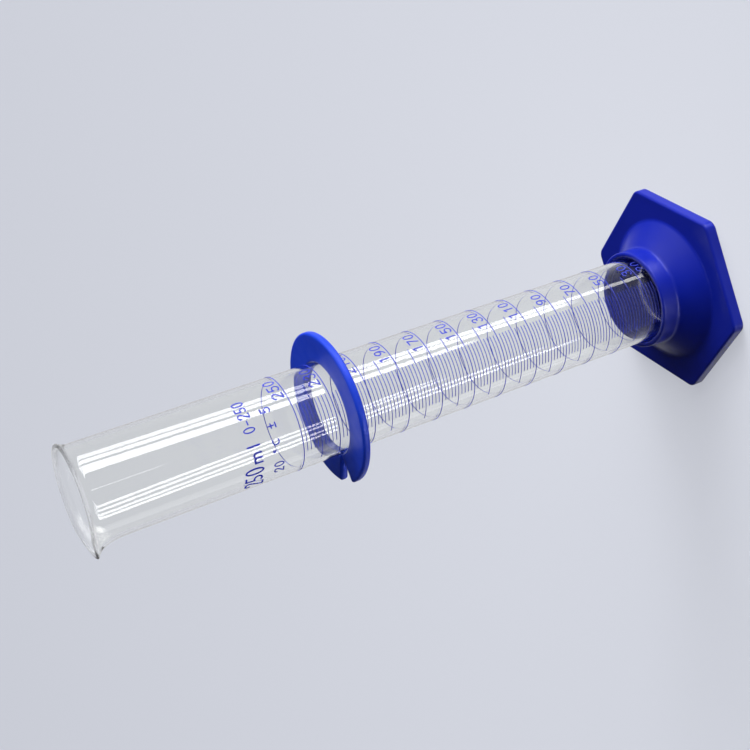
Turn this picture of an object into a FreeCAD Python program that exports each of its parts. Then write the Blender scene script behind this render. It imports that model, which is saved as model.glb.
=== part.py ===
import FreeCAD, Part
import math
import os

from FreeCAD import Vector

# Graduated measuring cylinder: glass tube with a pouring spout, a hexagonal plastic foot with a round
# collar, and a slit guard ring that slides on the tube. Sizes are in millimetres, and azimuths and
# angles in degrees.
# +Z is up along the tube. The origin is the centre of the foot's underside, with a corner of the
# hexagon on +X. The scale faces -Y, turned a little about the tube.

# Glass cylinder
tube_radius = 21.0
wall = 1.6
floor_thickness = 2.0
bottom_corner_radius = 4.0
rim_height = 309.0
rim_flare = 2.2
flare_height = 4.5
bead_growth = 0.4
bead_rounding = 0.9
spout_azimuth = 172.7
spout_half_angle = 46.0
spout_reach = 4.8
spout_height = 17.0
spout_drop = 2.0

# Foot
hex_across_flats = 89.5
hex_corner_radius = 5.0
plate_height = 6.0
plate_edge_radius = 1.2
cone_foot_radius = 35.5
collar_radius = 24.3
collar_foot_height = 16.6
collar_top_height = 26.3
collar_edge_radius = 0.9
collar_gap = 0.9
collar_mouth_depth = 6.0
seat_clearance = 0.1
seat_height = 4.2
seat_floor_thickness = 2.2
skin = 2.4
socket_recess = 0.8

# Guard ring
ring_outer_radius = 34.2
ring_thickness = 3.5
ring_top_height = 196.9
ring_edge_radius = 1.2
ring_bore_edge_radius = 0.4
ring_clearance = 0.3
slit_near_azimuth = -173.1
slit_bore_opening = 5.9
slit_outer_opening = 21.7

# Print on the glass
print_thickness = 0.1
scale_azimuth = -97.3
capacity = 250
division = 2
first_volume = 20
first_labelled = 30
short_half_angle = 28.7
medium_half_angle = 48.5
fine_line = 0.30
bold_line = 0.38
label_azimuth = -40.0
digit_height = 5.1
digit_width = 3.6
digit_pitch = 4.3
digit_stroke = 0.55
label_lift = 1.1
inscription_azimuth = -100.3
capital_height = 8.5
capital_width = 3.9
capital_pitch = 4.5
capital_stroke = 0.85
unit_height = 6.0
unit_width = 5.2
unit_pitch = 5.35
unit_stroke = 0.75
unit_gap = 1.5
range_height = 5.2
range_width = 2.7
range_pitch = 3.1
range_stroke = 0.55
range_gap = 2.7
note_lift = 9.142
note_gap = 4.4
note_azimuth = -101.8
note_height = 4.6
note_width = 2.9
note_pitch = 3.5
note_stroke = 0.55

# Sizes worked out from the ones above
bore_radius = tube_radius - wall
glass_floor = seat_height + floor_thickness
inner_corner_radius = bottom_corner_radius - wall / 2
print_radius = tube_radius + print_thickness
hex_radius = hex_across_flats / math.sqrt(3)
corner_loss = (1 - math.pi / 4) * inner_corner_radius ** 2
corner_volume = corner_loss * 2 * math.pi * (bore_radius - 0.22 * inner_corner_radius)


def polar(radius, azimuth, z):
    """The point at a radius and an azimuth in degrees."""
    a = math.radians(azimuth)
    return Vector(radius * math.cos(a), radius * math.sin(a), z)


def turned(points, angle=360.0):
    """The solid swept by a flat outline of (radius, z) points about the tube's axis."""
    outline = Part.makePolygon([Vector(r, 0, z) for r, z in points + points[:1]])
    return Part.Face(outline).revolve(Vector(0, 0, 0), Vector(0, 0, 1), angle)


def holed_face(wires):
    """The flat face between an outer wire and the wire of a hole in it."""
    return Part.makeFace(Part.makeCompound(wires), "Part::FaceMakerBullseye")


def level(volume):
    """Height of the liquid surface that holds a volume in millilitres."""
    return glass_floor + (1000 * volume + corner_volume) / (math.pi * bore_radius ** 2)


# Glass cylinder

def spout_share(azimuth):
    """1 at the middle of the spout, falling smoothly to 0 at its sides."""
    off = abs((azimuth - spout_azimuth + 180) % 360 - 180)
    if off >= spout_half_angle:
        return 0.0
    return math.cos(math.pi / 2 * off / spout_half_angle) ** 2


def outer_radius(azimuth, z):
    """Radius of the outside: straight, then the flared rim, with the spout drawn out of it."""
    flare = max(0.0, (z - rim_height + flare_height) / flare_height) ** 2
    pull = max(0.0, (z - rim_height + spout_height) / spout_height) ** 2.5
    return tube_radius + rim_flare * flare + spout_reach * spout_share(azimuth) * pull


def inner_radius(azimuth, z):
    """Radius of the inside, with the wall a little thicker at the fire-polished rim."""
    flare = max(0.0, (z - rim_height + flare_height) / flare_height) ** 2
    return outer_radius(azimuth, z) - wall - bead_growth * flare


def skin_patch(section):
    """A smooth closed band through the (radius, z) points of a section at every 5 degrees of the tube."""
    azimuths = [spout_azimuth + 180 + 5 * step for step in range(72)]
    sections = [section(azimuth) for azimuth in azimuths]
    rings = []
    for i in range(len(sections[0])):
        ring = Part.BSplineCurve()
        ring.interpolate(Points=[polar(s[i][0], a, s[i][1]) for s, a in zip(sections, azimuths)],
                         PeriodicFlag=True, Parameters=list(range(73)))
        rings.append(ring)
    columns = []
    for poles in zip(*[ring.getPoles() for ring in rings]):
        column = Part.BSplineCurve()
        column.interpolate(Points=list(poles), Parameters=list(range(len(poles))))
        columns.append(column)
    surface = Part.BSplineSurface()
    surface.buildFromPolesMultsKnots([column.getPoles() for column in columns],
                                     rings[0].getMultiplicities(), columns[0].getMultiplicities(),
                                     rings[0].getKnots(), columns[0].getKnots(), True, False, 3, 3)
    return surface.toShape()


def glass_cylinder():
    """Blown tube with a closed bottom, a flared rim and a spout."""
    straight_top = rim_height - spout_height - 1
    wall_top = rim_height - bead_rounding
    heights = [straight_top + (wall_top - straight_top) * i / 24 for i in range(25)]

    def lowered(azimuth, z):
        rise = (z - straight_top) / (wall_top - straight_top)
        return z - spout_drop * spout_share(azimuth) * rise ** 2

    def outside(azimuth):
        return [(outer_radius(azimuth, z), lowered(azimuth, z)) for z in heights]

    def inside(azimuth):
        return [(inner_radius(azimuth, z), lowered(azimuth, z)) for z in heights]

    def rim(azimuth):
        a = outer_radius(azimuth, wall_top)
        b = inner_radius(azimuth, wall_top)
        top = lowered(azimuth, wall_top)
        turns = [math.pi * i / 8 for i in range(9)]
        middle = (a + b) / 2
        half = (a - b) / 2
        return [(middle + half * math.cos(t), top + bead_rounding * math.sin(t)) for t in turns]

    def flat_edge(shape, z):
        return [e for e in shape.Edges if e.BoundBox.ZLength < 0.01 and abs(e.BoundBox.ZMax - z) < 0.01]

    patches = [skin_patch(section) for section in (outside, rim, inside)]
    seams = [flat_edge(patch, straight_top) for patch in (patches[0], patches[2])]
    mouth_skin = Part.makeCompound(patches + [holed_face([Part.Wire(seam) for seam in seams])])
    mouth_skin.sewShape(0.001)
    mouth = Part.Solid(mouth_skin.Shells[0])
    if mouth.Volume < 0:
        mouth.reverse()
    straight = turned([(0, seat_height), (tube_radius, seat_height), (tube_radius, straight_top),
                       (bore_radius, straight_top), (bore_radius, glass_floor), (0, glass_floor)])
    tube = straight.fuse([mouth], 0.001).removeSplitter().Solids[0]
    tube = tube.makeFillet(bottom_corner_radius, flat_edge(tube, seat_height))
    return tube.makeFillet(inner_corner_radius, flat_edge(tube, glass_floor))


# Foot

def hex_prism(inset, z0, z1):
    """Six-sided prism with rounded upright edges, with a corner on +X, set in from the plate's sides."""
    side = hex_radius - inset / math.cos(math.pi / 6)
    corners = [polar(side, 60 * k, z0) for k in range(7)]
    prism = Part.Face(Part.makePolygon(corners)).extrude(Vector(0, 0, z1 - z0))
    upright = [e for e in prism.Edges if abs(e.Vertexes[0].Z - e.Vertexes[1].Z) > (z1 - z0) / 2]
    return prism.makeFillet(max(hex_corner_radius - inset, 0.3), upright)


def hex_base():
    """Moulded foot: hexagonal plate, conical rise and collar, hollow under its skin."""
    plate = hex_prism(0, 0, plate_height)
    top_edges = [e for e in plate.Edges if min(v.Z for v in e.Vertexes) > plate_height / 2]
    plate = plate.makeFillet(plate_edge_radius, top_edges)
    middle = plate_height / 2
    rise = turned([(0, middle), (cone_foot_radius, middle), (cone_foot_radius, plate_height),
                   (collar_radius, collar_foot_height), (0, collar_foot_height)])
    mouth_radius = tube_radius + collar_gap
    lip = min(collar_edge_radius, 0.4 * (collar_radius - mouth_radius))
    collar = Part.makeCylinder(collar_radius, collar_top_height - middle, Vector(0, 0, middle))
    collar = collar.makeFillet(lip, [e for e in collar.Edges if e.BoundBox.ZMin > collar_top_height - 0.01])
    body = plate.fuse([rise, collar]).removeSplitter()

    # The hollow under the skin, around the socket that takes the tube
    slope = math.atan2(collar_foot_height - plate_height, cone_foot_radius - collar_radius)
    skin_run = skin / math.sin(slope)
    roof = plate_height - skin
    run_per_rise = 1 / math.tan(slope)
    cone_at_roof = cone_foot_radius + skin * run_per_rise - skin_run
    peak = roof + (cone_at_roof - collar_radius) / run_per_rise
    hollow = hex_prism(skin, -1, roof)
    hollow = hollow.fuse(turned([(0, roof - 1), (cone_at_roof, roof - 1), (cone_at_roof, roof),
                                 (collar_radius, peak), (0, peak)]))
    hollow = hollow.cut(Part.makeCylinder(collar_radius, peak + 3, Vector(0, 0, -2)))
    body = body.cut(hollow)

    # The socket: a wide mouth at the collar, a close seat below it, and a recessed underside
    seat_radius = tube_radius + seat_clearance
    seat = Part.makeCylinder(seat_radius, collar_top_height, Vector(0, 0, seat_height))
    mouth_floor = collar_top_height - collar_mouth_depth
    mouth = Part.makeCylinder(mouth_radius, collar_mouth_depth + 1, Vector(0, 0, mouth_floor))
    under_height = seat_height - seat_floor_thickness + 1
    under_floor = Part.makeCylinder(collar_radius - skin, under_height, Vector(0, 0, -1))
    body = body.cut(seat).cut(mouth).cut(under_floor)
    recess = Part.makeCylinder(collar_radius + skin / 2, socket_recess + 1, Vector(0, 0, -1))
    body = body.cut(recess)
    upper_edges = [e for e in body.Edges if e.BoundBox.ZMin > collar_top_height - 0.01]
    return body.makeFillet(lip, [e for e in upper_edges if abs(e.BoundBox.XMax - mouth_radius) < 0.01])


# Guard ring

def guard_ring():
    """Flat ring that slides on the tube, with a slit that widens outwards."""
    bore = print_radius + ring_clearance
    base = ring_top_height - ring_thickness
    ring = Part.makeCylinder(ring_outer_radius, ring_thickness, Vector(0, 0, base))
    ring = ring.cut(Part.makeCylinder(bore, ring_thickness + 2, Vector(0, 0, base - 1)))

    def rims(radius):
        return [e for e in ring.Edges if e.BoundBox.ZLength < 0.01 and abs(e.BoundBox.XMax - radius) < 0.01]

    ring = ring.makeFillet(min(ring_edge_radius, 0.45 * ring_thickness), rims(ring_outer_radius))
    ring = ring.makeFillet(min(ring_bore_edge_radius, 0.4 * ring_thickness), rims(bore))

    # The slit: one face is radial, the other leans away from it
    far_bore = slit_near_azimuth - slit_bore_opening
    far_rim = slit_near_azimuth - slit_outer_opening
    a = polar(bore, far_bore, base - 1)
    b = polar(ring_outer_radius, far_rim, base - 1)
    reach = 2 * ring_outer_radius
    outward = (b - a).normalize()
    wedge = Part.makePolygon([polar(0.5 * bore, slit_near_azimuth, base - 1),
                              polar(reach, slit_near_azimuth, base - 1),
                              a + outward * reach,
                              a - outward * (0.3 * bore),
                              polar(0.5 * bore, slit_near_azimuth, base - 1)])
    return ring.cut(Part.Face(wedge).extrude(Vector(0, 0, ring_thickness + 2)))


# Print

def band(z, half_angle, width):
    """One scale line: a thin raised band round the tube, centred on the scale."""
    span = 2 * half_angle
    points = [(tube_radius, z - width / 2), (print_radius, z - width / 2),
              (print_radius, z + width / 2), (tube_radius, z + width / 2)]
    line = turned(points, span)
    start = scale_azimuth - half_angle
    line.rotate(Vector(0, 0, 0), Vector(0, 0, 1), start)
    return line


def labelled_volumes():
    """Volumes with a numeral: the first line, then every ten divisions."""
    return [first_volume] + list(range(first_labelled, capacity + 1, 10 * division))


def scale_lines():
    """A line for every division: short, medium each five, and all round at the numerals."""
    labelled = labelled_volumes()
    lines = []
    for volume in range(first_volume, capacity + 1, division):
        if volume in labelled:
            lines.append(band(level(volume), 180, bold_line))
        elif volume % (5 * division) == 0:
            lines.append(band(level(volume), medium_half_angle, fine_line))
        else:
            lines.append(band(level(volume), short_half_angle, fine_line))
    return Part.makeCompound(lines)


def glyph_strokes(sign, w, h):
    """Centre lines of one sign in a box of width w and height h, as lists of edges."""
    def at(x, y):
        return Vector(x * w, y * h, 0)

    def line(*points):
        return [Part.makeLine(at(*p), at(*q)) for p, q in zip(points, points[1:])]

    def arc(p, q, r):
        return [Part.Arc(at(*p), at(*q), at(*r)).toShape()]

    def ring(x, y, rx, ry):
        major, minor = max(rx * w, ry * h), min(rx * w, ry * h)
        oval = Part.Ellipse(Vector(0, 0, 0), major, minor).toShape()
        if ry * h > rx * w:
            oval.rotate(Vector(0, 0, 0), Vector(0, 0, 1), 90)
        oval.translate(at(x, y))
        return [oval]

    strokes = {
        "0": [ring(0.5, 0.5, 0.46, 0.5)],
        "1": [line((0.22, 0.80), (0.55, 1.0), (0.55, 0.0))],
        "2": [arc((0.06, 0.74), (0.50, 1.0), (0.92, 0.66)) + line((0.92, 0.66), (0.06, 0.0), (0.94, 0.0))],
        "3": [arc((0.08, 0.84), (0.86, 0.80), (0.42, 0.54)), arc((0.42, 0.54), (0.94, 0.24), (0.06, 0.16))],
        "5": [line((0.88, 1.0), (0.20, 1.0), (0.12, 0.50)) + arc((0.12, 0.50), (0.94, 0.32), (0.06, 0.12))],
        "7": [line((0.06, 1.0), (0.92, 1.0), (0.36, 0.0))],
        "9": [ring(0.48, 0.69, 0.40, 0.30), arc((0.88, 0.69), (0.74, 0.22), (0.26, 0.0))],
        "m": [line((0.0, 0.0), (0.0, 0.62)),
              arc((0.0, 0.44), (0.25, 0.62), (0.50, 0.44)) + line((0.50, 0.44), (0.50, 0.0)),
              arc((0.50, 0.44), (0.75, 0.62), (1.0, 0.44)) + line((1.0, 0.44), (1.0, 0.0))],
        "l": [line((0.5, 0.0), (0.5, 1.0))],
        "C": [arc((0.94, 0.80), (0.06, 0.50), (0.94, 0.20))],
        "o": [ring(0.4, 0.86, 0.16, 0.13)],
        "+": [line((0.5, 0.26), (0.5, 0.86)), line((0.1, 0.56), (0.9, 0.56)),
              line((0.1, 0.06), (0.9, 0.06))],
        "-": [line((0.12, 0.42), (0.88, 0.42))],
    }
    return strokes[sign]


def grown_oval(oval, distance):
    """The oval that runs at a distance outside an oval, or inside it when the distance is below 0."""
    long_way = oval.XAxis * (oval.MajorRadius + distance)
    short_way = oval.YAxis * (oval.MinorRadius + distance)
    grown = Part.Ellipse(oval.Center + long_way, oval.Center + short_way, oval.Center)
    return Part.Wire(grown.toShape())


def stroke_face(edges, stroke):
    """The flat shape that a round pen of a given width leaves along some joined edges."""
    half = stroke / 2
    wire = Part.Wire(edges)
    if wire.isClosed():
        return holed_face([grown_oval(edges[0].Curve, half), grown_oval(edges[0].Curve, -half)])
    if len(edges) > 1 or edges[0].Curve.TypeId != "Part::GeomLine":
        return Part.Face(wire.makeOffset2D(half))
    p, q = [vertex.Point for vertex in edges[0].Vertexes]
    along = (q - p).normalize() * half
    side = Vector(-along.y, along.x, 0)
    return Part.Face(Part.Wire([Part.makeLine(p + side, q + side),
                                Part.Arc(q + side, q + along, q - side).toShape(),
                                Part.makeLine(q - side, p - side),
                                Part.Arc(p - side, p - along, p + side).toShape()]))


def glyph(sign, w, h, stroke, azimuth, z):
    """One raised sign on the glass, its middle at an azimuth and its foot at a height."""
    bars = [stroke_face(edges, stroke).extrude(Vector(0, 0, tube_radius))
            for edges in glyph_strokes(sign, w - stroke, h - stroke)]
    solid = bars[0].fuse(bars[1:]) if len(bars) > 1 else bars[0]
    solid.translate(Vector(-(w - stroke) / 2, stroke / 2, tube_radius / 2))
    solid.rotate(Vector(0, 0, 0), Vector(1, 0, 0), 90)
    solid.rotate(Vector(0, 0, 0), Vector(0, 0, 1), azimuth + 90)
    solid.translate(Vector(0, 0, z))
    sleeve = turned([(tube_radius, z - 1), (print_radius, z - 1),
                     (print_radius, z + h + 1), (tube_radius, z + h + 1)])
    return solid.common(sleeve)


def row_length(text, w, pitch):
    """Length of a row of signs along the glass."""
    return pitch * (len(text) - 1) + w


def written(text, w, h, pitch, stroke, left, z):
    """A row of signs read from left to right with the mouth up. left is measured along the glass."""
    signs = []
    for i, sign in enumerate(text):
        if sign != " ":
            azimuth = math.degrees((left + w / 2 + i * pitch) / tube_radius)
            signs += glyph(sign, w, h, stroke, azimuth, z).Solids
    return signs


def scale_numbers():
    """The numerals, each standing on its line to the right of the scale."""
    solids = []
    for volume in labelled_volumes():
        text = str(volume)
        left = math.radians(label_azimuth) * tube_radius - row_length(text, digit_width, digit_pitch) / 2
        solids += written(text, digit_width, digit_height, digit_pitch, digit_stroke,
                          left, level(volume) + label_lift)
    return Part.makeCompound(solids)


def inscription():
    """Two plain lines above the scale: the capacity with its range, and a temperature."""
    capital_length = row_length("250", capital_width, capital_pitch)
    unit_length = row_length("ml", unit_width, unit_pitch)
    range_length = row_length("0-250", range_width, range_pitch)
    whole = capital_length + unit_gap + unit_length + range_gap + range_length
    left = math.radians(inscription_azimuth) * tube_radius - whole / 2
    note_foot = level(capacity) + note_lift
    foot = note_foot + note_height + note_gap
    solids = written("250", capital_width, capital_height, capital_pitch, capital_stroke,
                     left, foot)
    left += capital_length + unit_gap
    solids += written("ml", unit_width, unit_height, unit_pitch, unit_stroke, left, foot)
    left += unit_length + range_gap
    solids += written("0-250", range_width, range_height, range_pitch, range_stroke,
                      left, foot)
    left = math.radians(note_azimuth) * tube_radius - row_length("20 oC + 5", note_width, note_pitch) / 2
    solids += written("20 oC + 5", note_width, note_height, note_pitch, note_stroke,
                      left, note_foot)
    return Part.makeCompound(solids)


nodes = {
    "glass_cylinder": glass_cylinder,
    "hex_base": hex_base,
    "guard_ring": guard_ring,
    "scale_lines": scale_lines,
    "scale_numbers": scale_numbers,
    "inscription": inscription,
}

os.makedirs("parts", exist_ok=True)
for name, make in nodes.items():
    shape = make()
    shape.exportStep("parts/" + name + ".step")
    print(name, "valid", shape.isValid(), "solids", len(shape.Solids), "volume", round(shape.Volume, 1))
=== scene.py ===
"""Graduated measuring cylinder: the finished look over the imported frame.

Everything is in metres, in the frame of the part: +Z up along the tube, the centre of the foot's
underside at the origin, the scale on the -Y side.
"""
import math

import bpy
import numpy as np
from bpy.props import FloatProperty, FloatVectorProperty, PointerProperty, StringProperty
from mathutils import Matrix, Vector


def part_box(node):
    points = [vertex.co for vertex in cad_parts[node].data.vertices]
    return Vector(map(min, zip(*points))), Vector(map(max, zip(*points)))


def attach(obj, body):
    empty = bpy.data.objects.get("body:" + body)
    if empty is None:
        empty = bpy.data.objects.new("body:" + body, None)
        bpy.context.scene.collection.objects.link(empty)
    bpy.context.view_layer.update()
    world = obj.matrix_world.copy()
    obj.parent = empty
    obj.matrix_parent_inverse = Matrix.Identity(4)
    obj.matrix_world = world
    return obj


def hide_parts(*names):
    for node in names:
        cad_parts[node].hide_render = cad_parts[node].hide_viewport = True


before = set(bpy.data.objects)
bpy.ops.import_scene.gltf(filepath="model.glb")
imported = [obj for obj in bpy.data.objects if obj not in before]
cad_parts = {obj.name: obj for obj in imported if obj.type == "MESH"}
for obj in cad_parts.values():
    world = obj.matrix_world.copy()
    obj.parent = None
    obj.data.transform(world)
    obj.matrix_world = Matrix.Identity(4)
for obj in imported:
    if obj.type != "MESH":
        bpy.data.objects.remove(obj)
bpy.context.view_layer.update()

bl_info = {
    "name": "Measuring cylinder",
    "version": (1, 0, 0),
    "blender": (4, 5, 0),
    "location": "3D View > Sidebar > Cylinder",
    "description": "Makes the glass, foot, ring, print and stage of a measuring cylinder",
    "category": "Object",
}

GLASS_LOW, GLASS_HIGH = [Vector(corner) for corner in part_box("glass_cylinder")]
FOOT_LOW, FOOT_HIGH = [Vector(corner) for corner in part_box("hex_base")]
RING_LOW, RING_HIGH = [Vector(corner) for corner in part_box("guard_ring")]
PRINT_LOW, PRINT_HIGH = [Vector(corner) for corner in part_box("scale_lines")]

IMAGE_SIZE = 750
TURN = 2 * math.pi
SIXTH = math.pi / 3


# Sizes that a user would change

def length(name, description, default):
    """A property that holds a length in metres."""
    return FloatProperty(name=name, description=description, default=default, min=0.0,
                         unit="LENGTH", subtype="DISTANCE", precision=5)


def angle(name, description, degrees):
    """A property that holds an angle."""
    return FloatProperty(name=name, description=description, default=math.radians(degrees),
                         unit="ROTATION", subtype="ANGLE")


def colour(name, description, default):
    """A property that holds an sRGB colour as a hex value."""
    return StringProperty(name=name, description=description, default=default)


class GlassSettings(bpy.types.PropertyGroup):
    """Sizes of the blown tube."""
    print_thickness: length("Print thickness", "How far the print stands off the glass", 0.0001)
    wall: length("Wall", "Thickness of the tube's wall", 0.0016)
    floor: length("Floor", "Thickness of the closed bottom", 0.002)
    corner: length("Bottom corner", "Outer radius where the wall turns into the bottom", 0.004)
    flare: length("Flare", "How far the rim is opened out", 0.0022)
    flare_height: length("Flare height", "Height over which the rim opens", 0.0045)
    bead: length("Bead", "Extra thickness of the fire-polished rim", 0.0004)
    rounding: length("Rim rounding", "Height of the rim's round top", 0.0009)
    spout_azimuth: angle("Spout azimuth", "Where the spout stands about the tube", 172.7)
    spout_half_angle: angle("Spout half angle", "From the spout's middle to its side", 46.0)
    spout_reach: length("Spout reach", "How far the spout is drawn out of the rim", 0.0048)
    spout_height: length("Spout height", "Height over which the spout is drawn", 0.017)
    spout_drop: length("Spout drop", "How far the spout's lip dips below the rim", 0.002)
    tint: colour("Tint", "Faint colour of the glass", "#fefefb")


class FootSettings(bpy.types.PropertyGroup):
    """Sizes of the moulded foot."""
    corner: length("Corner", "Radius of the plate's upright corners", 0.005)
    plate: length("Plate height", "Height of the plate's side", 0.006)
    edge: length("Edge", "Radius along the plate's upper edge", 0.0012)
    cone_foot: length("Cone foot", "Radius of the cone where it meets the plate", 0.0355)
    cone_blend: length("Cone blend", "Fillet where the cone meets the plate", 0.003)
    collar: length("Collar radius", "Outer radius of the collar", 0.0243)
    collar_foot: length("Collar foot", "Height where the cone meets the collar", 0.0166)
    neck_blend: length("Neck blend", "Fillet where the cone turns up into the collar", 0.0032)
    lip: length("Lip", "Rounding of the collar's upper edges", 0.0009)
    gap: length("Gap", "Space between the tube and the collar's mouth", 0.0009)
    mouth: length("Mouth depth", "Depth of the collar's wide mouth", 0.006)
    seat_gap: length("Seat gap", "Space between the tube and its seat", 0.0001)
    seat_floor: length("Seat floor", "Thickness of the floor under the tube", 0.0022)
    skin: length("Skin", "Wall thickness of the moulding", 0.0024)
    recess: length("Recess", "Height of the socket's edge above the table", 0.0008)
    colour: colour("Colour", "Colour of the foot's plastic", "#091e9f")


class RingSettings(bpy.types.PropertyGroup):
    """Sizes of the guard ring."""
    clearance: length("Clearance", "Space between the print and the ring's bore", 0.0003)
    edge: length("Edge", "Rounding of the outer edges", 0.0012)
    bore_edge: length("Bore edge", "Rounding of the bore's edges", 0.0004)
    near_azimuth: angle("Slit azimuth", "Where the slit's radial face stands", -173.1)
    bore_opening: angle("Opening at the bore", "Width of the slit at the bore", 5.9)
    outer_opening: angle("Opening outside", "Width of the slit at the ring's edge", 21.7)
    colour: colour("Colour", "Colour of the ring's plastic", "#123ccc")


class PrintSettings(bpy.types.PropertyGroup):
    """Colour of the print."""
    colour: colour("Colour", "Colour of the enamel", "#4858e4")


class StageSettings(bpy.types.PropertyGroup):
    """Camera, floor and light."""
    camera_place: FloatVectorProperty(name="Camera place", description="Where the camera stands",
                                      default=(0.04722, -0.51586, 0.39270), unit="LENGTH",
                                      subtype="XYZ")
    camera_aim: FloatVectorProperty(name="Camera aim", description="Point on the camera's axis",
                                    default=(0.00290, 0.00025, 0.12353), unit="LENGTH",
                                    subtype="XYZ")
    camera_roll: angle("Camera roll", "Turn of the camera about its axis", 109.31)
    lens: FloatProperty(name="Lens", description="Focal length", default=61.02, unit="CAMERA")
    axis_column: FloatProperty(name="Axis column", default=465.1,
                               description="Pixel column of the camera's axis in the picture")
    axis_row: FloatProperty(name="Axis row", default=352.6,
                            description="Pixel row of the camera's axis in the picture")
    # The floor's two colours paint a pool of light: palest near the object, dimmer far off.
    floor_near_painted_light: colour("Floor", "Colour of the floor near the object", "#d9dce6")
    floor_far_painted_dimming: colour("Floor shade", "Colour of the floor far off", "#c7cad4")
    scale_azimuth: angle("Scene azimuth", "Azimuth that faces the camera", -84.77)
    light_from: FloatVectorProperty(name="Light from", default=(0.98, -0.20, -0.02), subtype="XYZ",
                                    description="Direction of the room's strongest light")
    key_from: FloatVectorProperty(name="Key lamp from", default=(1.2, -0.30, 0.12), subtype="XYZ",
                                  description="Direction of the key lamp")
    key_spread: angle("Key lamp spread", "How wide the key lamp looks from the object", 27.0)
    key_strength: FloatProperty(name="Key lamp strength", default=2.6, min=0.0,
                                description="Light of the key lamp in watts per square metre")


# Small tools

def settings():
    """The scene's settings for this object."""
    return bpy.context.scene.measuring_cylinder


def tube_radius():
    """Outer radius of the glass, from the print that lies on it."""
    return (PRINT_HIGH.y - PRINT_LOW.y) / 2 - settings().glass.print_thickness


def linear(hex_colour):
    """The linear RGBA of an sRGB hex value."""
    values = [int(hex_colour[i:i + 2], 16) / 255 for i in (1, 3, 5)]
    return [v / 12.92 if v <= 0.04045 else ((v + 0.055) / 1.055) ** 2.4 for v in values] + [1.0]


def shifted(base, factor, lift=0.0):
    """A linear colour made darker or paler: times a factor, plus a lift, at most 1."""
    return [min(factor * v + lift, 1.0) for v in base[:3]] + [1.0]


def add(tree, kind, inputs=(), **options):
    """A node with its settings, and its inputs set to values or linked.

    Inputs come by socket name, or in a row in the order of the sockets. A node given as an input
    is linked from its first output.
    """
    node = tree.nodes.new(kind)
    for name, value in options.items():
        setattr(node, name, value)
    for name, value in inputs.items() if isinstance(inputs, dict) else enumerate(inputs):
        if isinstance(value, bpy.types.Node):
            value = value.outputs[0]
        if isinstance(value, bpy.types.NodeSocket):
            tree.links.new(value, node.inputs[name])
        else:
            node.inputs[name].default_value = value
    return node


def surface_material(name):
    """A new material without nodes, and its node tree."""
    material = bpy.data.materials.new(name)
    material.use_nodes = True
    tree = material.node_tree
    tree.nodes.clear()
    return material, tree


def dress(obj, material):
    """Gives a piece or a node one material all over."""
    obj.data.materials.clear()
    obj.data.materials.append(material)


def smooth_object(name, vertices, face_groups):
    """An object from vertices and groups of equal-sided faces, smooth all over."""
    corners = np.concatenate([group.ravel() for group in face_groups]).astype(np.int32)
    sizes = np.concatenate([np.full(len(group), group.shape[1]) for group in face_groups])
    starts = np.concatenate([[0], np.cumsum(sizes)[:-1]]).astype(np.int32)
    mesh = bpy.data.meshes.new(name)
    mesh.vertices.add(len(vertices))
    mesh.vertices.foreach_set("co", np.ascontiguousarray(vertices, dtype=np.float32).ravel())
    mesh.loops.add(len(corners))
    mesh.loops.foreach_set("vertex_index", corners)
    mesh.polygons.add(len(sizes))
    mesh.polygons.foreach_set("loop_start", starts)
    mesh.polygons.foreach_set("use_smooth", np.ones(len(sizes), dtype=bool))
    mesh.update(calc_edges=True)
    mesh.validate()
    obj = bpy.data.objects.new(name, mesh)
    bpy.context.scene.collection.objects.link(obj)
    return obj


def closed_skin(name, points):
    """A closed object from points[row, column, xyz]: neighbouring rows and columns make quads.

    Rows run along the section and columns round the axis, where the last joins the first. The
    first and the last row are closed with a fan to one point at the row's mean. Columns go
    anticlockwise seen from above and rows go up the outside, so faces point outwards.
    """
    rows, columns = points.shape[:2]
    poles = points[[0, -1]].mean(axis=1)
    left = np.arange(rows * columns).reshape(rows, columns)
    right = np.roll(left, -1, axis=1)
    quads = np.stack([left[:-1], right[:-1], right[1:], left[1:]], axis=-1).reshape(-1, 4)
    first, last = rows * columns, rows * columns + 1
    first_fan = np.stack([right[0], left[0], np.full(columns, first)], axis=-1)
    last_fan = np.stack([left[-1], right[-1], np.full(columns, last)], axis=-1)
    vertices = np.vstack([points.reshape(-1, 3), poles])
    return smooth_object(name, vertices, [quads, first_fan, last_fan])


def arc(centre, radius, start, end, count):
    """Points of an arc in (radius, height), with angles in degrees from outwards, turning up."""
    t = np.radians(np.linspace(start, end, count))
    return np.stack([centre[0] + radius * np.cos(t), centre[1] + radius * np.sin(t)], axis=-1)


# Glass

def glass_wall_shift(z, azimuth):
    """How far the wall stands out and dips at heights z and azimuths, and the share of flare.

    Flare: a parabola over the flare's height. Spout: cos squared across its width, times height
    above its root to the power 2.5 outwards, and squared downwards.
    """
    glass = settings().glass
    top = GLASS_HIGH.z
    dip_height = glass.spout_height + 0.001
    flare = np.clip((z - top + glass.flare_height) / glass.flare_height, 0, None) ** 2
    pull = np.clip((z - top + glass.spout_height) / glass.spout_height, 0, None) ** 2.5
    dip = np.clip((z - top + dip_height) / (dip_height - glass.rounding), 0, None) ** 2
    off = np.abs((azimuth - glass.spout_azimuth + math.pi) % TURN - math.pi)
    wave = np.cos(math.pi / 2 * off / glass.spout_half_angle)
    share = np.where(off < glass.spout_half_angle, wave, 0) ** 2
    out = glass.flare * flare + glass.spout_reach * share * pull
    return out, glass.spout_drop * share * dip, flare


def circle_rows(radius, z, around):
    """Rows of points at radius(row, column) and height z(row, column) on the unit circle around."""
    columns = len(around)
    plane = np.broadcast_to(radius, (len(z), columns))[..., None] * around[None]
    return np.concatenate([plane, np.broadcast_to(z, (len(z), columns))[..., None]], axis=-1)


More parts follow.
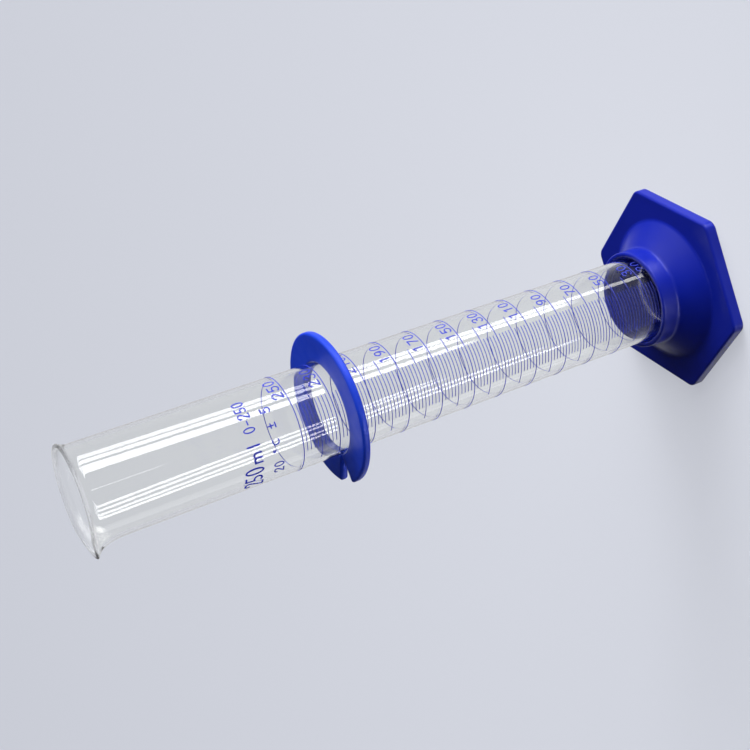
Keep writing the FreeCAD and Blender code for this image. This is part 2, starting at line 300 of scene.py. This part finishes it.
def glass_points(columns=240, straight_rows=16, spout_rows=40):
    """Rows of the tube's closed skin, from the middle of the underside to the middle of the floor.

    Each row is a circle of radius r(row) at height z(row), with the shift of flare and spout
    added above the straight tube, and half an ellipse over the rim between outside and inside.
    """
    glass = settings().glass
    radius = tube_radius()
    bore = radius - glass.wall
    low = GLASS_LOW.z
    floor = low + glass.floor
    top = GLASS_HIGH.z - glass.rounding
    bend = GLASS_HIGH.z - glass.spout_height
    inner_corner = glass.corner - glass.wall / 2
    # Radii of the rows near the poles, as shares; a row close beside each rounding, which keeps
    # the flats flat; and the space above the inner corner that is free of rows
    pole, middle = 0.02, 0.4
    beside = 0.0005
    clear = 0.002

    azimuth = np.arange(columns) / columns * TURN
    around = np.stack([np.cos(azimuth), np.sin(azimuth)], axis=-1)
    heights = np.concatenate([np.linspace(low + glass.corner, bend, straight_rows),
                              np.linspace(bend, top, spout_rows)[1:]])

    out, drop, _ = glass_wall_shift(heights[:, None], azimuth[None])
    outside = circle_rows(radius + out, heights[:, None] - drop, around)
    start = floor + inner_corner
    inner = np.concatenate([[start], heights[heights > start + clear]])[:, None]
    out, drop, flare = glass_wall_shift(inner, azimuth[None])
    inside = circle_rows(bore + out - glass.bead * flare, inner - drop, around)[::-1]

    lean = np.linspace(0, math.pi, 13)[1:-1, None, None]
    outer_edge = outside[-1][None]
    inner_edge = inside[0][None]
    rim = (outer_edge + inner_edge) / 2 + (outer_edge - inner_edge) / 2 * np.cos(lean)
    rim = rim + np.sin(lean) * glass.rounding * np.array([0, 0, 1])

    bottom = np.vstack([
        [[radius * pole, low], [radius * middle, low], [radius - glass.corner - beside, low]],
        arc((radius - glass.corner, low + glass.corner), glass.corner, -90, 0, 14)[:-1]])
    inner_bottom = np.vstack([
        arc((bore - inner_corner, floor + inner_corner), inner_corner, 0, -90, 12)[1:],
        [[bore - inner_corner - beside, floor], [bore * middle, floor], [bore * pole, floor]]])
    return np.concatenate([circle_rows(bottom[:, :1], bottom[:, 1:], around), outside, rim, inside,
                           circle_rows(inner_bottom[:, :1], inner_bottom[:, 1:], around)])


def blown_borosilicate():
    """Blown borosilicate glass, fire polished.

    It gives the eye clear walls with a hardly visible warm tint, sharp and slightly wavering
    mirror images of long lamps, and a soft white line along the rim that is a painted highlight.
    """
    material, tree = surface_material("blown_borosilicate_glass")
    place = add(tree, "ShaderNodeTexCoord").outputs["Object"]
    # The tube is drawn along its axis: its slight waves are long that way, and 9 mm wide round it.
    wave_width = 0.009
    stretched = add(tree, "ShaderNodeMapping", {"Vector": place, "Scale": (1, 1, 0.12)})
    waves = add(tree, "ShaderNodeTexNoise",
                {"Vector": stretched, "Scale": 1 / wave_width, "Detail": 1.0})
    bump = add(tree, "ShaderNodeBump", {"Height": waves, "Strength": 0.004, "Distance": 0.0004})
    glass = add(tree, "ShaderNodeBsdfPrincipled", {
        "Base Color": linear(settings().glass.tint), "Roughness": 0.0, "IOR": 1.474,
        "Transmission Weight": 1.0, "Normal": bump})
    # Painted highlight: over the last 2 mm the glass is mixed into pale transparent and
    # translucent white, which stands in for the light that the fire-polished rim gathers.
    rim_start, rim_full, most_painted_rim_light = 0.0022, 0.0006, 0.7
    height = add(tree, "ShaderNodeSeparateXYZ", (place,)).outputs["Z"]
    share = add(tree, "ShaderNodeMapRange", (height, GLASS_HIGH.z - rim_start,
                                             GLASS_HIGH.z - rim_full, 0.0, most_painted_rim_light))
    clear = add(tree, "ShaderNodeBsdfTransparent", {"Color": (0.97, 0.97, 0.97, 1.0)})
    white = add(tree, "ShaderNodeBsdfTranslucent", {"Color": (0.9, 0.9, 0.9, 1.0)})
    painted_rim_light = add(tree, "ShaderNodeMixShader", (0.25, clear, white))
    rim = add(tree, "ShaderNodeMixShader", (share, glass, painted_rim_light))
    add(tree, "ShaderNodeOutputMaterial", {"Surface": rim})
    return material


# Foot

def corner_tangent(half_width, corner):
    """Angle from the middle of a hexagon's side to where its rounded corner starts."""
    return math.atan2((half_width - corner) * math.tan(SIXTH / 2), half_width)


def hexagon_radius(azimuth, half_width, corner):
    """Polar radius of a hexagon with a corner on +X and rounded corners.

    Along a side it is half_width / cos(angle from the side's middle). Round a corner it is the far
    crossing of the ray with the corner's circle.
    """
    from_side = (azimuth + SIXTH) % SIXTH - SIXTH / 2
    from_corner = SIXTH / 2 - np.abs(from_side)
    reach = (half_width - corner) / math.cos(SIXTH / 2)
    side = half_width / np.cos(from_side)
    chord = np.sqrt(np.clip(corner ** 2 - (reach * np.sin(from_corner)) ** 2, 0, None))
    rounded = reach * np.cos(from_corner) + chord
    return np.where(np.abs(from_side) < corner_tangent(half_width, corner), side, rounded)


def foot_azimuths(half_width, corner):
    """Azimuths for the foot's columns, closer together round the plate's corners."""
    tangent = corner_tangent(half_width, corner)
    side = np.linspace(-tangent, tangent, 33)[:-1]
    bend = np.linspace(tangent, SIXTH - tangent, 15)[:-1]
    one = np.concatenate([side, bend]) + SIXTH / 2
    return np.concatenate([one + k * SIXTH for k in range(6)])


def circles(rz):
    """Rows of the foot's section that are circles, from (radius, height)."""
    return np.column_stack([rz, np.zeros((len(rz), 2))])


def outlines(inset_z, share=1.0, radius=0.0):
    """Rows of the foot's section that follow the plate's outline, from (inset, height).

    With a share below 1 the outline is mixed with a circle of the radius.
    """
    inset_z = np.array(inset_z)
    return np.column_stack([np.full(len(inset_z), radius), inset_z[:, 1], inset_z[:, 0],
                            np.full(len(inset_z), share)])


def foot_profile():
    """Half section of the foot as rows of (radius, height, inset, share of hexagon).

    A row with share 1 follows the plate's outline at its inset, a row with share 0 is a circle of
    its radius. The section starts at the middle of the recess below, goes out under the skin, up
    the outside and down into the socket.
    """
    foot = settings().foot
    tube = tube_radius()
    top = FOOT_HIGH.z
    seat = tube + foot.seat_gap
    seat_z = GLASS_LOW.z
    under_z = seat_z - foot.seat_floor
    mouth = tube + foot.gap
    mouth_z = top - foot.mouth
    plate, collar, skin = foot.plate, foot.collar, foot.skin
    slope = math.atan2(foot.collar_foot - plate, foot.cone_foot - collar)
    bend = math.degrees(slope)
    # The inside of the cone: its skin is as thick as the rest, measured square to it.
    roof = plate - skin
    inner_cone = foot.cone_foot + skin / math.tan(slope) - skin / math.sin(slope)
    peak = roof + (inner_cone - collar) * math.tan(slope)
    # Centres of the fillets at the cone's foot and at its neck
    cone_low = (foot.cone_foot + foot.cone_blend * math.tan(slope / 2), plate + foot.cone_blend)
    neck_cut = foot.neck_blend * math.tan((math.pi / 2 - slope) / 2)
    neck = (collar + foot.neck_blend, foot.collar_foot + neck_cut)
    # Small breaks of the hidden edges, rows close beside a rounding, and the pole's share
    small = 0.0003
    fine = 0.0008
    pole = 0.03
    # The collar's straight side starts this far above its foot.
    straight = 0.002
    bulge = arc((0, 0), foot.edge, 0, 90, 9)
    return np.vstack([
        circles([[seat * pole, under_z], [collar - skin - small, under_z],
                 [collar - skin, under_z - small], [collar - skin, foot.recess + small],
                 [collar - skin + small, foot.recess], [collar - small, foot.recess],
                 [collar, foot.recess + small], [collar, peak - small],
                 [collar + small, peak - small * 0.3], [inner_cone, roof + small],
                 [inner_cone + fine, roof]]),
        outlines([[skin + fine, roof], [skin, roof - small], [skin, fine], [skin, small * 0.5],
                  [skin - small * 0.5, 0.0], [fine, 0.0], [small, 0.0], [0.0, small], [0.0, fine],
                  [0.0, plate - foot.edge - fine]]),
        outlines(np.column_stack([foot.edge - bulge[:, 0], plate - foot.edge + bulge[:, 1]])),
        outlines([[foot.edge + fine, plate]]),
        *[outlines([[foot.edge + 2 * fine, plate]], share, foot.cone_foot + fine)
          for share in (0.75, 0.5, 0.25)],
        circles([[cone_low[0] + fine, plate]]),
        circles(arc(cone_low, foot.cone_blend, -90, -90 - bend, 7)),
        circles(arc(neck, foot.neck_blend, 270 - bend, 180, 7)),
        circles([[collar, foot.collar_foot + straight], [collar, top - foot.lip - fine]]),
        circles(arc((collar - foot.lip, top - foot.lip), foot.lip, 0, 90, 8)),
        circles(arc((mouth + foot.lip, top - foot.lip), foot.lip, 90, 180, 8)),
        circles([[mouth, top - foot.lip - fine], [mouth, mouth_z + small],
                 [mouth - small, mouth_z], [seat + small, mouth_z], [seat, mouth_z - small],
                 [seat, seat_z + small], [seat - small, seat_z], [seat * pole, seat_z]]),
    ])


def foot_points():
    """The foot's section on every azimuth: r = share * hexagon(azimuth, inset) + rest * radius."""
    foot = settings().foot
    # The plate's outline stays at least this round at its corners where it is inset.
    sharpest = 0.0003
    half_width = (FOOT_HIGH.y - FOOT_LOW.y) / 2
    azimuth = foot_azimuths(half_width, foot.corner)
    radius, z, inset, share = np.hsplit(foot_profile(), 4)
    corner = np.clip(foot.corner - inset, sharpest, None)
    plate = np.stack([hexagon_radius(azimuth, half_width - i[0], c[0])
                      for i, c in zip(inset, corner)])
    r = share * plate + (1 - share) * radius
    return np.stack([r * np.cos(azimuth), r * np.sin(azimuth), np.broadcast_to(z, r.shape)],
                    axis=-1)


def moulded_plastic(name, hex_colour, roughness, grain):
    """Injection-moulded polyolefin, as it leaves a polished steel mould.

    It gives the eye a deep even blue with a soft sheen, both drifting a little from place to
    place, and a fine grain that breaks up the edges of highlights.
    """
    material, tree = surface_material(name)
    place = add(tree, "ShaderNodeTexCoord").outputs["Object"]
    # The colour drifts a little over about 25 mm, as the melt flowed.
    flow_size = 0.025
    drift = add(tree, "ShaderNodeTexNoise",
                {"Vector": place, "Scale": 1 / flow_size, "Detail": 3.0})
    base = linear(hex_colour)
    shade = add(tree, "ShaderNodeMix", {"Factor": drift, "A": shifted(base, 0.86),
                                        "B": shifted(base, 1.08, 0.003)}, data_type="RGBA")
    # Mould grain 0.5 mm across, as fine as the picture can show.
    grain_size = 0.0005
    fine = add(tree, "ShaderNodeTexNoise",
               {"Vector": place, "Scale": 1 / grain_size, "Detail": 2.0})
    bump = add(tree, "ShaderNodeBump", {"Height": fine, "Strength": grain, "Distance": 0.0001})
    # The polish of the mould varies over about 6 mm.
    polish_size = 0.006
    wide = add(tree, "ShaderNodeTexNoise",
               {"Vector": place, "Scale": 1 / polish_size, "Detail": 2.0})
    rough = add(tree, "ShaderNodeMapRange", (wide, 0.3, 0.7, roughness - 0.04, roughness + 0.05))
    plastic = add(tree, "ShaderNodeBsdfPrincipled", {
        "Base Color": shade.outputs["Result"], "Roughness": rough, "IOR": 1.49,
        "Specular IOR Level": 0.35, "Normal": bump})
    add(tree, "ShaderNodeOutputMaterial", {"Surface": plastic})
    return material


# Guard ring

def ring_points(columns=200):
    """The ring's rounded section carried along an arc from one face of the slit to the other.

    A point at radius r sits at azimuth start + u * sweep(r), u from 0 to 1. The near face is
    radial, and the far face follows the straight line from the bore's opening to the outer one.
    """
    ring = settings().ring
    bore = tube_radius() + settings().glass.print_thickness + ring.clearance
    outer = (RING_HIGH.y - RING_LOW.y) / 2
    low, high = RING_LOW.z, RING_HIGH.z
    edge = ring.edge
    fine = ring.bore_edge
    # Rows close beside the roundings, which keep the flats flat
    beside = 0.0015
    section = np.vstack([
        arc((outer - edge, low + edge), edge, -90, 0, 8),
        arc((outer - edge, high - edge), edge, 0, 90, 8),
        [[outer - edge - beside, high], [bore + fine + beside, high]],
        arc((bore + fine, high - fine), fine, 90, 180, 5),
        arc((bore + fine, low + fine), fine, 180, 270, 5),
        [[bore + fine + beside, low], [outer - edge - beside, low]],
    ])
    r, z = section[:, 0], section[:, 1]
    start = ring.near_azimuth
    a, b = [radius * np.array([math.cos(start - opening), math.sin(start - opening)])
            for radius, opening in ((bore, ring.bore_opening), (outer, ring.outer_opening))]
    along = (b - a) / np.linalg.norm(b - a)
    nearest = a @ along
    reach = np.sqrt(np.clip(r ** 2 - (a @ a - nearest ** 2), 0, None)) - nearest
    leaning = a[None] + reach[:, None] * along[None]
    sweep = (np.arctan2(leaning[:, 1], leaning[:, 0]) - start) % TURN
    azimuth = start + np.linspace(0, 1, columns)[:, None] * sweep[None]
    return np.stack([r * np.cos(azimuth), r * np.sin(azimuth), np.broadcast_to(z, azimuth.shape)],
                    axis=-1)


def ring_object(name):
    """The ring's skin, with the two faces of the slit closed by plain ends."""
    points = ring_points()
    columns, around = points.shape[:2]
    index = np.arange(columns * around).reshape(columns, around)
    after = np.roll(index, -1, axis=1)
    quads = np.stack([index[:-1], index[1:], after[1:], after[:-1]], axis=-1).reshape(-1, 4)
    near_face = index[0][None]
    far_face = index[-1][::-1][None]
    return smooth_object(name, points.reshape(-1, 3), [quads, near_face, far_face])


# Print

def fired_enamel():
    """Screen-printed enamel, fired into the glass.

    It gives the eye matt blue violet lines, slightly uneven in strength, that let some light
    through.
    """
    material, tree = surface_material("fired_blue_enamel")
    place = add(tree, "ShaderNodeTexCoord").outputs["Object"]
    # The ink lies unevenly over about 0.8 mm.
    ink_size = 0.0008
    ink = add(tree, "ShaderNodeTexNoise", {"Vector": place, "Scale": 1 / ink_size, "Detail": 2.0})
    base = linear(settings().print.colour)
    shade = add(tree, "ShaderNodeMix", {"Factor": ink, "A": shifted(base, 0.8),
                                        "B": shifted(base, 1.15, 0.02)},
                data_type="RGBA").outputs["Result"]
    enamel = add(tree, "ShaderNodeBsdfPrincipled",
                 {"Base Color": shade, "Roughness": 0.55, "IOR": 1.5})
    # The thin ink lets some light through, so that the far lines are seen from inside.
    through = add(tree, "ShaderNodeBsdfTranslucent", {"Color": shade})
    both = add(tree, "ShaderNodeMixShader", (0.55, enamel, through))
    add(tree, "ShaderNodeOutputMaterial", {"Surface": both})
    return material


# Stage

def camera_turn(place, aim, roll):
    """Rotation of a camera that looks from place to aim, turned by roll from upright."""
    forward = (aim - place).normalized()
    level = forward.cross(Vector((0, 0, 1))).normalized()
    upright = level.cross(forward)
    right = level * math.cos(roll) - upright * math.sin(roll)
    up = level * math.sin(roll) + upright * math.cos(roll)
    return Matrix((right, up, -forward)).transposed()


def make_camera():
    """The camera at the picture's viewing angle."""
    stage = settings().stage
    data = bpy.data.cameras.new("camera")
    data.sensor_width = 36.0
    data.lens = stage.lens
    data.shift_x = (IMAGE_SIZE / 2 - stage.axis_column) / IMAGE_SIZE
    data.shift_y = (stage.axis_row - IMAGE_SIZE / 2) / IMAGE_SIZE
    data.clip_start = 0.02
    data.clip_end = 50
    camera = bpy.data.objects.new("camera", data)
    place = Vector(stage.camera_place)
    turn = camera_turn(place, Vector(stage.camera_aim), stage.camera_roll)
    camera.matrix_world = Matrix.Translation(place) @ turn.to_4x4()
    bpy.context.scene.collection.objects.link(camera)
    bpy.context.scene.camera = camera


def seen_directly(tree):
    """1 for rays that come straight from the camera or through glass, else 0."""
    path = add(tree, "ShaderNodeLightPath")
    return add(tree, "ShaderNodeMath", (path.outputs["Is Camera Ray"],
                                        path.outputs["Is Transmission Ray"]), operation="MAXIMUM")


def matt_paper():
    """Matt pale paper, with a painted pool of light: a little darker far off.

    It gives the eye an even ground without any shine, on which the object's shadow lies.
    """
    material, tree = surface_material("pale_paper_floor")
    stage = settings().stage
    place = add(tree, "ShaderNodeTexCoord").outputs["Object"]
    away = add(tree, "ShaderNodeVectorMath", (place,), operation="LENGTH").outputs["Value"]
    # Painted pool of light: the paper is palest near the object, and half way to its far
    # painted dimming at 0.6 m: d / (d + 0.6).
    half_way = 0.6
    beyond = add(tree, "ShaderNodeMath", (away, half_way), operation="ADD")
    fade = add(tree, "ShaderNodeMath", (away, beyond), operation="DIVIDE")
    shade = add(tree, "ShaderNodeMix", {"Factor": fade, "A": linear(stage.floor_near_painted_light),
                                        "B": linear(stage.floor_far_painted_dimming)},
                data_type="RGBA").outputs["Result"]
    # It is shaded as if it leaned to the light, which comes in low.
    lean = add(tree, "ShaderNodeNormal")
    lean.outputs[0].default_value = Vector((0.7, -0.1, 0.7)).normalized()
    matt = add(tree, "ShaderNodeBsdfDiffuse", {"Color": shade, "Normal": lean})
    # Where it is seen directly, most of its tone is its own, so that it looks even.
    glow = add(tree, "ShaderNodeEmission", {"Color": shade, "Strength": 1.0})
    own_tone = 0.65
    share = add(tree, "ShaderNodeMath", (seen_directly(tree), own_tone), operation="MULTIPLY")
    mixed = add(tree, "ShaderNodeMixShader", (share, matt, glow))
    add(tree, "ShaderNodeOutputMaterial", {"Surface": mixed})
    return material


def make_floor():
    """A wide floor that reaches to the horizon."""
    size = 20.0
    mesh = bpy.data.meshes.new("floor")
    mesh.from_pydata([(-size, -size, 0), (size, -size, 0), (size, size, 0), (-size, size, 0)],
                     [], [(0, 1, 2, 3)])
    floor = bpy.data.objects.new("floor", mesh)
    bpy.context.scene.collection.objects.link(floor)
    floor.visible_glossy = False
    dress(floor, matt_paper())


# A mirrored ray's fall is its direction's part straight down. The lamps' places are given at the
# first two falls, and nearer the horizon than the third they stay as they are there.
HIGH_FALL, LOW_FALL = 0.18, 0.50
LAST_FALL = 0.17
# Half the width of a lamp's soft edge, in degrees
LAMP_EDGE = 0.7
# Long lamps as the tube mirrors them: bearing at the high and the low fall and half width at both,
# in degrees, then the fall at which the lamp ends, and its brightness
LONG_LAMPS = (
    (50.0, 33.5, 9.6, 3.2, 0.475, 12.0),
    (69.0, 50.0, 4.6, 4.3, 0.545, 12.0),
    (82.5, 61.5, 5.6, 5.0, 0.598, 9.0),
    (-64.5, -51.0, 2.6, 2.5, 0.540, 12.0),
    (-56.3, -39.8, 2.6, 2.3, 0.515, 12.0),
    (-46.0, -25.5, 2.6, 2.2, 0.445, 12.0),
    (-36.0, -19.0, 2.6, 2.0, 0.440, 12.0),
    (-100.0, -101.0, 6.0, 3.5, 0.545, 1.2),
    (-91.0, -91.0, 4.0, 4.0, 0.545, 1.0),
    (2.0, 2.0, 0.9, 0.9, 0.233, 6.0),
)


def tube_lamp(tree, bearing, fall, lamp):
    """Brightness of one long lamp, from the bearing and the fall of the mirrored ray."""
    high, low, high_half, low_half, last, strength = lamp
    centre = add(tree, "ShaderNodeMapRange", (fall, HIGH_FALL, LOW_FALL, high, low), clamp=False)
    half = add(tree, "ShaderNodeMapRange", (fall, HIGH_FALL, LOW_FALL, high_half, low_half))
    aside = add(tree, "ShaderNodeMath", (bearing, centre), operation="SUBTRACT")
    off = add(tree, "ShaderNodeMath", (aside,), operation="ABSOLUTE")
    past = add(tree, "ShaderNodeMath", (off, half), operation="SUBTRACT")
    across = add(tree, "ShaderNodeMapRange", (past, -LAMP_EDGE, LAMP_EDGE, strength, 0.0),
                 interpolation_type="SMOOTHSTEP")
    end = add(tree, "ShaderNodeMapRange", (fall, last - 0.02, last + 0.005, 1.0, 0.0),
              interpolation_type="SMOOTHSTEP")
    return add(tree, "ShaderNodeMath", (across, end), operation="MULTIPLY")


def mirrored_room(tree, ray):
    """Brightness of what mirroring surfaces see in the direction of a ray."""
    turned = add(tree, "ShaderNodeMapping",
                 {"Vector": ray, "Rotation": (0, 0, -settings().stage.scale_azimuth)},
                 vector_type="POINT")
    parts = add(tree, "ShaderNodeSeparateXYZ", (turned,))
    rise = parts.outputs["Z"]
    turn = add(tree, "ShaderNodeMath", (parts.outputs["Y"], parts.outputs["X"]),
               operation="ARCTAN2")
    bearing = add(tree, "ShaderNodeMath", (turn,), operation="DEGREES")
    down = add(tree, "ShaderNodeMath", (rise, -1.0), operation="MULTIPLY")
    fall = add(tree, "ShaderNodeMath", (down, LAST_FALL), operation="MAXIMUM")
    total = 0.0
    for lamp in LONG_LAMPS:
        total = add(tree, "ShaderNodeMath", (tube_lamp(tree, bearing, fall, lamp), total),
                    operation="ADD")
    # The lamps fade out shortly below the horizon.
    below = add(tree, "ShaderNodeMapRange", (rise, -LAST_FALL, -0.09, 1.0, 0.0))
    lamps = add(tree, "ShaderNodeMath", (total, below), operation="MULTIPLY")
    # The tube's sides mirror the pale table that lies behind it, and rays that rise a dim room.
    turned_away = add(tree, "ShaderNodeMath", (bearing,), operation="ABSOLUTE")
    beside = add(tree, "ShaderNodeMapRange", (turned_away, 85.0, 125.0, 0.20, 0.64),
                 interpolation_type="SMOOTHSTEP")
    dim = add(tree, "ShaderNodeMapRange", (rise, -0.14, 0.0, 1.0, 0.1))
    room = add(tree, "ShaderNodeMath", (beside, dim), operation="MULTIPLY")
    return add(tree, "ShaderNodeMath", (lamps, room), operation="ADD")


def make_world():
    """The room: plain and pale to the camera, with long lamps that only mirroring surfaces see."""
    world = bpy.data.worlds.new("studio")
    bpy.context.scene.world = world
    world.use_nodes = True
    tree = world.node_tree
    tree.nodes.clear()
    stage = settings().stage
    white = (1, 1, 1, 1)
    ray = add(tree, "ShaderNodeTexCoord").outputs["Generated"]
    path = add(tree, "ShaderNodeLightPath")
    mirror = add(tree, "ShaderNodeBackground",
                 {"Color": white, "Strength": mirrored_room(tree, ray)})
    # Light on matt surfaces comes mostly from one side, level with the object.
    side = add(tree, "ShaderNodeVectorMath", (ray, tuple(stage.light_from)),
               operation="DOT_PRODUCT").outputs["Value"]
    soft = add(tree, "ShaderNodeMapRange", (side, 0.45, 1.0, 0.06, 4.6),
               interpolation_type="SMOOTHSTEP")
    matt = add(tree, "ShaderNodeBackground", {"Color": white, "Strength": soft})
    lighting = add(tree, "ShaderNodeMixShader", (path.outputs["Is Glossy Ray"], matt, mirror))
    # Seen directly the room is as pale as the far floor. What lies behind glass is lit from the
    # light's side and from above.
    plain = add(tree, "ShaderNodeBackground",
                {"Color": linear(stage.floor_far_painted_dimming), "Strength": 1.06})
    window = add(tree, "ShaderNodeMapRange", (side, 0.70, 1.0, 0.0, 6.0),
                 interpolation_type="SMOOTHSTEP")
    rise = add(tree, "ShaderNodeSeparateXYZ", (ray,)).outputs["Z"]
    above = add(tree, "ShaderNodeMapRange", (rise, 0.3, 0.7, 0.0, 1.2))
    both = add(tree, "ShaderNodeMath", (window, above), operation="ADD")
    inside = add(tree, "ShaderNodeMath", (both, path.outputs["Is Transmission Ray"]),
                 operation="MULTIPLY")
    through = add(tree, "ShaderNodeBackground", {"Color": white, "Strength": inside})
    direct = add(tree, "ShaderNodeAddShader", (plain, through))
    everything = add(tree, "ShaderNodeMixShader", (seen_directly(tree), lighting, direct))
    add(tree, "ShaderNodeOutputWorld", {"Surface": everything})


def make_key_lamp():
    """A soft lamp far away, for matt surfaces only."""
    stage = settings().stage
    data = bpy.data.lights.new("key_lamp", "SUN")
    data.angle = stage.key_spread
    data.energy = stage.key_strength
    lamp = bpy.data.objects.new("key_lamp", data)
    lamp.rotation_euler = Vector(stage.key_from).to_track_quat("Z", "Y").to_euler()
    lamp.visible_camera = False
    lamp.visible_glossy = False
    lamp.visible_transmission = False
    bpy.context.scene.collection.objects.link(lamp)


# Operators

FOOT_ROUGHNESS, FOOT_GRAIN = 0.34, 0.03
RING_ROUGHNESS, RING_GRAIN = 0.42, 0.04


class CYLINDER_OT_glass(bpy.types.Operator):
    """Make the blown glass tube with its spout"""
    bl_idname = "cylinder.glass"
    bl_label = "Glass tube"

    def execute(self, context):
        tube = closed_skin("glass_tube", glass_points())
        dress(tube, blown_borosilicate())
        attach(tube, "cylinder")
        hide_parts("glass_cylinder")
        return {"FINISHED"}


class CYLINDER_OT_foot(bpy.types.Operator):
    """Make the moulded hexagonal foot with its collar"""
    bl_idname = "cylinder.foot"
    bl_label = "Foot"

    def execute(self, context):
        foot = closed_skin("moulded_foot", foot_points())
        dress(foot, moulded_plastic("moulded_blue_polypropylene", settings().foot.colour,
                                    FOOT_ROUGHNESS, FOOT_GRAIN))
        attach(foot, "cylinder")
        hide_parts("hex_base")
        return {"FINISHED"}


class CYLINDER_OT_ring(bpy.types.Operator):
    """Make the slit guard ring"""
    bl_idname = "cylinder.ring"
    bl_label = "Guard ring"

    def execute(self, context):
        ring = ring_object("slit_guard_ring")
        dress(ring, moulded_plastic("satin_blue_polyethylene", settings().ring.colour,
                                    RING_ROUGHNESS, RING_GRAIN))
        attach(ring, "ring")
        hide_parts("guard_ring")
        return {"FINISHED"}


class CYLINDER_OT_print(bpy.types.Operator):
    """Colour the scale, its numerals and the inscription"""
    bl_idname = "cylinder.print"
    bl_label = "Print"

    def execute(self, context):
        enamel = fired_enamel()
        for node in ("scale_lines", "scale_numbers", "inscription"):
            dress(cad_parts[node], enamel)
        return {"FINISHED"}


class CYLINDER_OT_stage(bpy.types.Operator):
    """Make the floor, the lights and the camera"""
    bl_idname = "cylinder.stage"
    bl_label = "Stage"

    def execute(self, context):
        make_camera()
        make_floor()
        make_world()
        make_key_lamp()
        return {"FINISHED"}


OPERATORS = (CYLINDER_OT_glass, CYLINDER_OT_foot, CYLINDER_OT_ring, CYLINDER_OT_print,
             CYLINDER_OT_stage)


class CylinderSettings(bpy.types.PropertyGroup):
    """All settings of the measuring cylinder."""
    glass: PointerProperty(type=GlassSettings)
    foot: PointerProperty(type=FootSettings)
    ring: PointerProperty(type=RingSettings)
    print: PointerProperty(type=PrintSettings)
    stage: PointerProperty(type=StageSettings)


class CYLINDER_PT_panel(bpy.types.Panel):
    """Lists the pieces and their settings"""
    bl_idname = "CYLINDER_PT_panel"
    bl_label = "Measuring cylinder"
    bl_space_type = "VIEW_3D"
    bl_region_type = "UI"
    bl_category = "Cylinder"

    def draw(self, context):
        for operator in OPERATORS:
            self.layout.operator(operator.bl_idname)
        for group in ("glass", "foot", "ring", "print", "stage"):
            box = self.layout.box()
            box.label(text=group.capitalize())
            values = getattr(settings(), group)
            for name in values.__annotations__:
                box.prop(values, name)


CLASSES = (GlassSettings, FootSettings, RingSettings, PrintSettings, StageSettings,
           CylinderSettings, *OPERATORS, CYLINDER_PT_panel)


def register():
    for cls in CLASSES:
        bpy.utils.register_class(cls)
    bpy.types.Scene.measuring_cylinder = PointerProperty(type=CylinderSettings)


def unregister():
    del bpy.types.Scene.measuring_cylinder
    for cls in reversed(CLASSES):
        bpy.utils.unregister_class(cls)


def main():
    register()
    scene = bpy.context.scene
    scene.view_settings.view_transform = "Standard"
    bpy.ops.cylinder.glass()
    bpy.ops.cylinder.foot()
    bpy.ops.cylinder.ring()
    bpy.ops.cylinder.print()
    bpy.ops.cylinder.stage()


if __name__ == "__main__":
    main()
